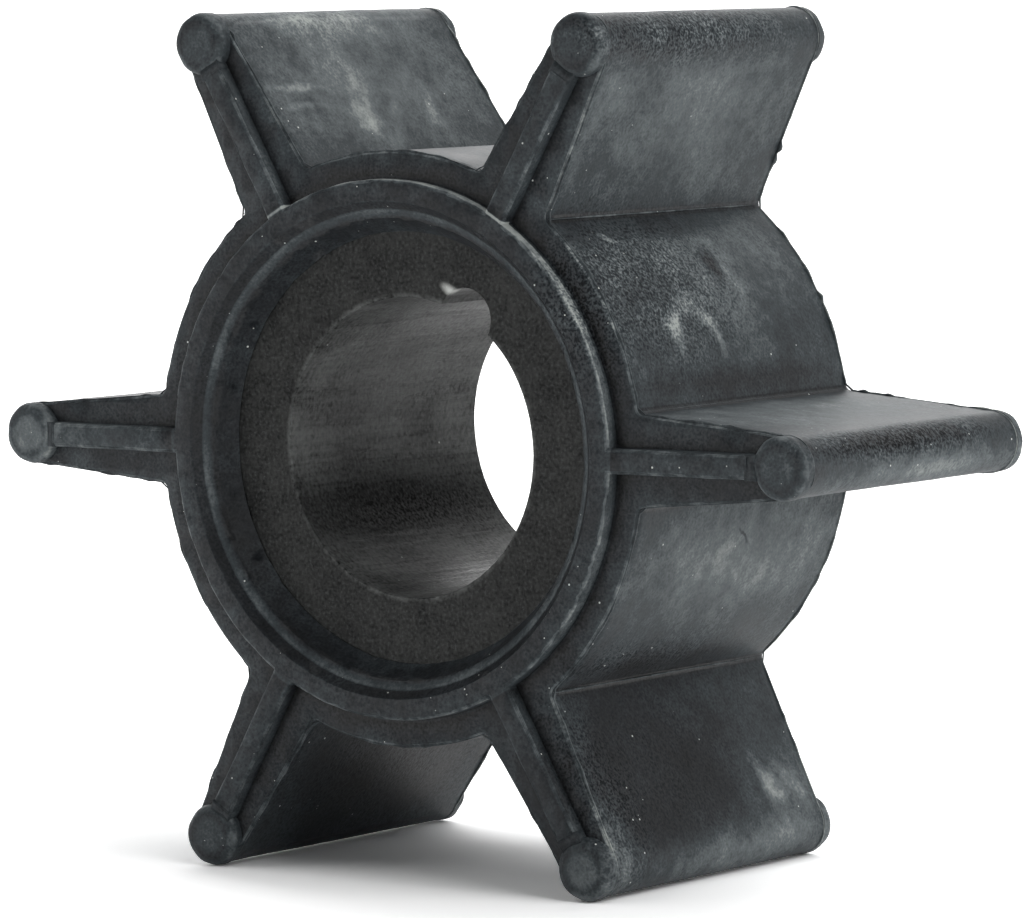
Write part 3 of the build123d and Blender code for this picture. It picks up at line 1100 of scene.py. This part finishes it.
# Edges are lightened, partly as wear and partly as a painted highlight.
worn_and_highlight = add_node(tree, "ShaderNodeMapRange",
                {0: wear_light_and_shade, 1: WEAR_FROM, 2: WEAR_FULL, 3: 0.0, 4: WEAR_AND_HIGHLIGHT})
broken = add_node(tree, "ShaderNodeMapRange",
                  {0: mottle, 1: BREAK_LOW, 2: BREAK_HIGH, 3: BROKEN_WEAR, 4: 1.0})
dust_and_painted_light = add_node(tree, "ShaderNodeMath", {0: worn_and_highlight, 1: broken, 2: dust_and_painted_light}, operation="MULTIPLY_ADD")
# Painted shade: corners, where the number is below nothing, are darkened.
corner_shade = add_node(tree, "ShaderNodeMapRange",
                {0: wear_light_and_shade, 1: CORNER_SHADE_FROM, 2: CORNER_SHADE_FULL, 3: 0.0, 4: CORNER_SHADE_TAKES})
dust_and_painted_light = add_node(tree, "ShaderNodeMath", {0: dust_and_painted_light, 1: corner_shade}, operation="SUBTRACT")
print("wear adds up to", WEAR_AND_HIGHLIGHT, "and dirt takes up to", CORNER_SHADE_TAKES)

# %% [markdown]
# ### Talc specks
# Talc keeps the rubber from sticking in its bag. A Voronoi texture scatters one point in each
# cell, and a cell's own random colour decides how large its speck is and whether it has one at
# all. There are more of them at the front, where dust settles while the part lies on its back.

# %% Scattered specks
SPECK_SPACING = 0.5
SPECK_SMALL = 0.02
SPECK_LARGE = 0.05
SPECK_SOFT = 0.015


def add_specks(tree, place, share_of_cells):
    """Scattered specks: 1 on a speck and 0 elsewhere. The share may be a value or a node."""
    cells = add_node(tree, "ShaderNodeTexVoronoi", {"Vector": place, "Scale": 1 / SPECK_SPACING})
    chance = add_node(tree, "ShaderNodeSeparateColor", {0: cells.outputs["Color"]})
    size = add_node(tree, "ShaderNodeMapRange",
                    {0: chance.outputs["Red"], 3: SPECK_SMALL, 4: SPECK_LARGE})
    there = add_node(tree, "ShaderNodeMath", {0: chance.outputs["Green"], 1: share_of_cells},
                     operation="LESS_THAN")
    size = add_node(tree, "ShaderNodeMath", {0: size, 1: there}, operation="MULTIPLY")
    inside = add_node(tree, "ShaderNodeMath",
                      {0: cells.outputs["Distance"], 1: -SPECK_SPACING, 2: size},
                      operation="MULTIPLY_ADD")
    return add_node(tree, "ShaderNodeMapRange", {0: inside, 1: 0.0, 2: SPECK_SOFT})


print("specks up to", 2 * SPECK_LARGE, "mm across, one cell every", SPECK_SPACING, "mm")

# %% Talc on the rubber
# The share of cells that have a speck, and between which two places along the axis it falls off.
FRONT_SPECKS = 0.8
BACK_SPECKS = 0.12
FALLS_FROM = -8.0
FALLS_TO = 2.0
# Specks gather with the clouds: there are few of them in thin cloud and more in full cloud.
SPECK_CLOUD = 0.42
THIN_CLOUD_SPECKS = 0.15
FULL_CLOUD_SPECKS = 1.3

speck_share = add_node(tree, "ShaderNodeMapRange",
                       {0: along_axis, 1: FALLS_FROM, 2: FALLS_TO, 3: FRONT_SPECKS, 4: BACK_SPECKS})
speck_clumps = add_node(tree, "ShaderNodeMapRange", {0: clouds, 1: SPECK_CLOUD, 2: FULL_CLOUD,
                                                     3: THIN_CLOUD_SPECKS, 4: FULL_CLOUD_SPECKS})
speck_share = add_node(tree, "ShaderNodeMath", {0: speck_share, 1: speck_clumps},
                       operation="MULTIPLY")
specks = add_specks(tree, place, speck_share)
print("share of cells with talc:", FRONT_SPECKS, "at the front and", BACK_SPECKS, "at the back")

# %% [markdown]
# ### From dust and painted light to colour, gloss and relief
# The ramp runs from rubber wet with grease, through soot-filled rubber and its bloom, to chalk. The
# painted light and shade in the same number move the colour along the same ramp.
# Grease is smoother than dust, so the same number sets the roughness. The grain is also given
# some relief, which catches the light on its ridges, and its pits trap light and don't shine.

# %% Dust and painted light to colour and roughness
COLOURS_FROM_DUST_AND_LIGHT = ((0.0, "#151617"), (0.25, "#222528"), (0.5, "#3b4144"), (0.75, "#696f71"),
                (1.0, "#a6aba8"))
TALC_WHITE = linear("#d9dcd8")
GREASY = 0.1
CHALKY = 0.9
GREASY_ROUGHNESS = 0.42
CHALKY_ROUGHNESS = 0.72

colour = add_node(tree, "ShaderNodeValToRGB", {0: dust_and_painted_light})
set_stops(colour, [(position, linear(hex_colour)) for position, hex_colour in COLOURS_FROM_DUST_AND_LIGHT])
colour = add_node(tree, "ShaderNodeMix", {"Factor": specks, "A": colour, "B": TALC_WHITE},
                  data_type="RGBA")
rough = add_node(tree, "ShaderNodeMapRange",
                 {0: dust_and_painted_light, 1: GREASY, 2: CHALKY, 3: GREASY_ROUGHNESS, 4: CHALKY_ROUGHNESS})
print("colours from grease to chalk:", [hex_colour for position, hex_colour in COLOURS_FROM_DUST_AND_LIGHT])

# %% Relief and shine of the grain
RELIEF_DEPTH = 0.04 * MM
GRAIN_IN_RELIEF = 0.6
# The coarseness at which the relief is least, and at which it is full.
FINE_GRAIN = 0.15
COARSE_GRAIN = 0.9
LEAST_RELIEF = 0.15
# The grit of a pit and of a ridge, and their specular levels. The usual level is one half.
PIT_GRIT = -0.1
RIDGE_GRIT = 0.04
PIT_SHINE = 0.1
PLAIN_SHINE = 0.5

relief = add_node(tree, "ShaderNodeMath", {0: grain, 1: GRAIN_IN_RELIEF, 2: worms},
                  operation="MULTIPLY_ADD")
raised = add_node(tree, "ShaderNodeMapRange",
                  {0: coarse, 1: FINE_GRAIN, 2: COARSE_GRAIN, 3: LEAST_RELIEF, 4: 1.0})
bump = add_node(tree, "ShaderNodeBump",
                {"Height": relief, "Strength": raised, "Distance": RELIEF_DEPTH})
shine = add_node(tree, "ShaderNodeMapRange",
                 {0: grit, 1: PIT_GRIT, 2: RIDGE_GRIT, 3: PIT_SHINE, 4: PLAIN_SHINE})
print("relief of the grain:", RELIEF_DEPTH / MM, "mm")

# %% Finish the rubber
# Plain nitrile rubber has 1.52. Full of soot, and rough, this one shines less.
RUBBER_IOR = 1.34

shader = add_node(tree, "ShaderNodeBsdfPrincipled",
                  {"Base Color": colour, "Roughness": rough, "Normal": bump,
                   "Specular IOR Level": shine, "IOR": RUBBER_IOR})
add_node(tree, "ShaderNodeOutputMaterial", {"Surface": shader})
for piece in (rubber_skin, front_flash, rear_flash, rib_webs, witness_lines):
    piece.data.materials.append(rubber)
print("the rubber has", len(tree.nodes), "nodes")

# %% [markdown]
# ## Moulded glass-filled nylon
# The bush is a hard moulded plastic, black right through. Its ends keep the fine blasted skin of
# the mould, and its bore was reamed and then rubbed by the shaft, which leaves fine light and dark
# streaks that run along it. A noise that is squeezed across the axis and drawn out along it gives
# them. On the ends of the bush the same noise is cut across and shows only as a fine speckle. To
# the eye it is a neutral grey-black, less blue than the rubber and without its bloom.

# %% Streaks and speckle of the nylon
STREAK_WIDTH = 0.2
STREAK_LENGTH = 7.0
BAND_WIDTH = 0.9
SPECKLE_WAVE = 0.18
DARK_SUM = 1.6
LIGHT_SUM = 2.4

nylon, tree = new_material("moulded glass-filled nylon")
place = place_in_mm(tree)
streaks = []
for width in (STREAK_WIDTH, BAND_WIDTH):
    drawn_out = add_node(tree, "ShaderNodeMapping",
                         {"Vector": place, "Scale": (1 / width, 1 / STREAK_LENGTH, 1 / width)})
    streaks.append(add_node(tree, "ShaderNodeTexNoise", {"Vector": drawn_out, "Scale": 1.0}))
speckle = add_node(tree, "ShaderNodeTexNoise",
                   {"Vector": place, "Scale": 1 / SPECKLE_WAVE, "Detail": 1.0})
clouds = add_node(tree, "ShaderNodeTexNoise", {"Vector": place, "Scale": 1 / CLOUD_WAVE})
tone = streaks[0]
for layer in (streaks[1], speckle, clouds):
    tone = add_node(tree, "ShaderNodeMath", {0: tone, 1: layer}, operation="ADD")
tone = add_node(tree, "ShaderNodeMapRange", {0: tone, 1: DARK_SUM, 2: LIGHT_SUM})
print("streaks", STREAK_WIDTH, "mm wide, speckle", SPECKLE_WAVE, "mm")

# %% [markdown]
# ### Bore, pits and burr
# The shaft has polished the bore, which is made paler, partly as wear and partly as painted light,
# and one side of the bore is darkened as painted shade. The moulded ends are full of tiny pits
# with a paler grain between them, and the tool that cut the keyway raised a pale burr on its
# corner, which also carries a painted highlight. Each of them is a cover: a number from 0 to 1
# that says where its own colour lies over the ones before it.

# %% The bore, and painted shade on one side of it
# The wall of the bore is 6.05 mm from the axis. Its finish reaches a little past that and fades.
BORE_ZONE = 6.1
BORE_FADE = 0.2
BORE_SHADE_CENTRE = (-5.2, 0.0, -3.2)
BORE_SHADE_HALF_SIZE = (2.6, 16.0, 3.0)

in_bore = add_node(tree, "ShaderNodeMapRange",
                   {0: from_axis(tree, place), 1: BORE_ZONE + BORE_FADE, 2: BORE_ZONE})
streaky = add_node(tree, "ShaderNodeMath", {0: in_bore, 1: tone}, operation="MULTIPLY")
# Painted shade: one side of the bore is darkened, in colour and in shine.
bore_shade = add_mark(tree, place, BORE_SHADE_CENTRE, BORE_SHADE_HALF_SIZE, 0, 0)
bore_shade = add_node(tree, "ShaderNodeMath", {0: bore_shade, 1: in_bore}, operation="MULTIPLY")
print("the bore's finish reaches", BORE_ZONE, "mm from the axis")

# %% Pits and the grain between them
PIT_WAVE = 0.14
PIT_FLOOR = 0.38
PIT_RIM = 0.5
NYLON_PIT_SHINE = 0.24
BORE_SHADE_SHINE = -0.2
PALE_GRAIN_FROM = 0.58
PALE_GRAIN_FULL = 0.7
PALE_GRAIN_COVER = 0.28

pits = add_node(tree, "ShaderNodeTexNoise", {"Vector": place, "Scale": 1 / PIT_WAVE, "Detail": 1.0})
shine = add_node(tree, "ShaderNodeMapRange",
                 {0: pits, 1: PIT_FLOOR, 2: PIT_RIM, 3: NYLON_PIT_SHINE, 4: PLAIN_SHINE})
shine = add_node(tree, "ShaderNodeMath", {0: bore_shade, 1: BORE_SHADE_SHINE, 2: shine},
                 operation="MULTIPLY_ADD")
dots = add_node(tree, "ShaderNodeMapRange",
                {0: pits, 1: PALE_GRAIN_FROM, 2: PALE_GRAIN_FULL, 3: 0.0, 4: PALE_GRAIN_COVER})
print("pits", PIT_WAVE, "mm wide")

# %% The burr and its painted highlight, the worn and highlighted edges, and a few specks
KEYWAY_BURR_AND_GLINT = (2.15, -6.5, 6.35)
BURR_HALF_SIZE = (0.75, 0.6, 0.3)
BURR_TURN = 30
NYLON_WEAR_FROM = 0.3
NYLON_WEAR_FULL = 0.9
NYLON_WEAR_COVER = 0.5
NYLON_SPECKS = 0.12

# Partly a burr and partly a painted highlight on the keyway's corner.
burr_and_glint = add_mark(tree, place, KEYWAY_BURR_AND_GLINT, BURR_HALF_SIZE, 0, BURR_TURN)
burr_and_glint = add_node(tree, "ShaderNodeMath", {0: burr_and_glint, 1: dots, 2: burr_and_glint}, operation="MULTIPLY_ADD")
wear_light_and_shade = add_node(tree, "ShaderNodeAttribute", attribute_name="wear_light_and_shade").outputs["Fac"]
# The bush's edges are lightened, partly as wear and partly as a painted highlight.
worn_and_highlight = add_node(tree, "ShaderNodeMapRange",
                {0: wear_light_and_shade, 1: NYLON_WEAR_FROM, 2: NYLON_WEAR_FULL, 3: 0.0, 4: NYLON_WEAR_COVER})
specks = add_specks(tree, place, NYLON_SPECKS)
print("burr_and_glint", 2 * BURR_HALF_SIZE[0], "mm wide")

# %% Lay the colours over one another
NYLON_BLACK = linear("#0d0e0e")
NYLON_GREY = linear("#303130")
NYLON_WORN = linear("#515454")
# The bore's paler colour is partly wear from the shaft and partly painted light.
BORE_WORN_AND_LIT = linear("#686a69")
COVERS = ((tone, NYLON_GREY), (streaky, BORE_WORN_AND_LIT), (bore_shade, NYLON_BLACK), (dots, NYLON_WORN),
          (burr_and_glint, TALC_WHITE), (worn_and_highlight, NYLON_WORN), (specks, TALC_WHITE))

colour = NYLON_BLACK
for cover, paint in COVERS:
    colour = add_node(tree, "ShaderNodeMix", {"Factor": cover, "A": colour, "B": paint},
                      data_type="RGBA")
print("covers over the black:", len(COVERS))

# %% Finish the nylon
# Plain nylon has 1.53. Its blasted, pitted skin shines much less.
NYLON_IOR = 1.27
NYLON_RELIEF = 0.012 * MM
STREAK_SMOOTH = 0.38
STREAK_ROUGH = 0.55

rough = add_node(tree, "ShaderNodeMapRange",
                 {0: streaks[0], 1: NOISE_LOW, 2: NOISE_HIGH, 3: STREAK_SMOOTH, 4: STREAK_ROUGH})
relief = add_node(tree, "ShaderNodeMath", {0: speckle, 1: GRAIN_IN_RELIEF, 2: streaks[0]},
                  operation="MULTIPLY_ADD")
bump = add_node(tree, "ShaderNodeBump",
                {"Height": relief, "Strength": 1.0, "Distance": NYLON_RELIEF})
shader = add_node(tree, "ShaderNodeBsdfPrincipled",
                  {"Base Color": colour, "Roughness": rough, "Normal": bump,
                   "Specular IOR Level": shine, "IOR": NYLON_IOR})
add_node(tree, "ShaderNodeOutputMaterial", {"Surface": shader})
bush_skin.data.materials.append(nylon)
print("the nylon has", len(tree.nodes), "nodes")

# %% [markdown]
# ## Finish
# The colours are shown as they are, with no film look.

# %% Show the colours as they are
bpy.context.scene.view_settings.view_transform = "Standard"
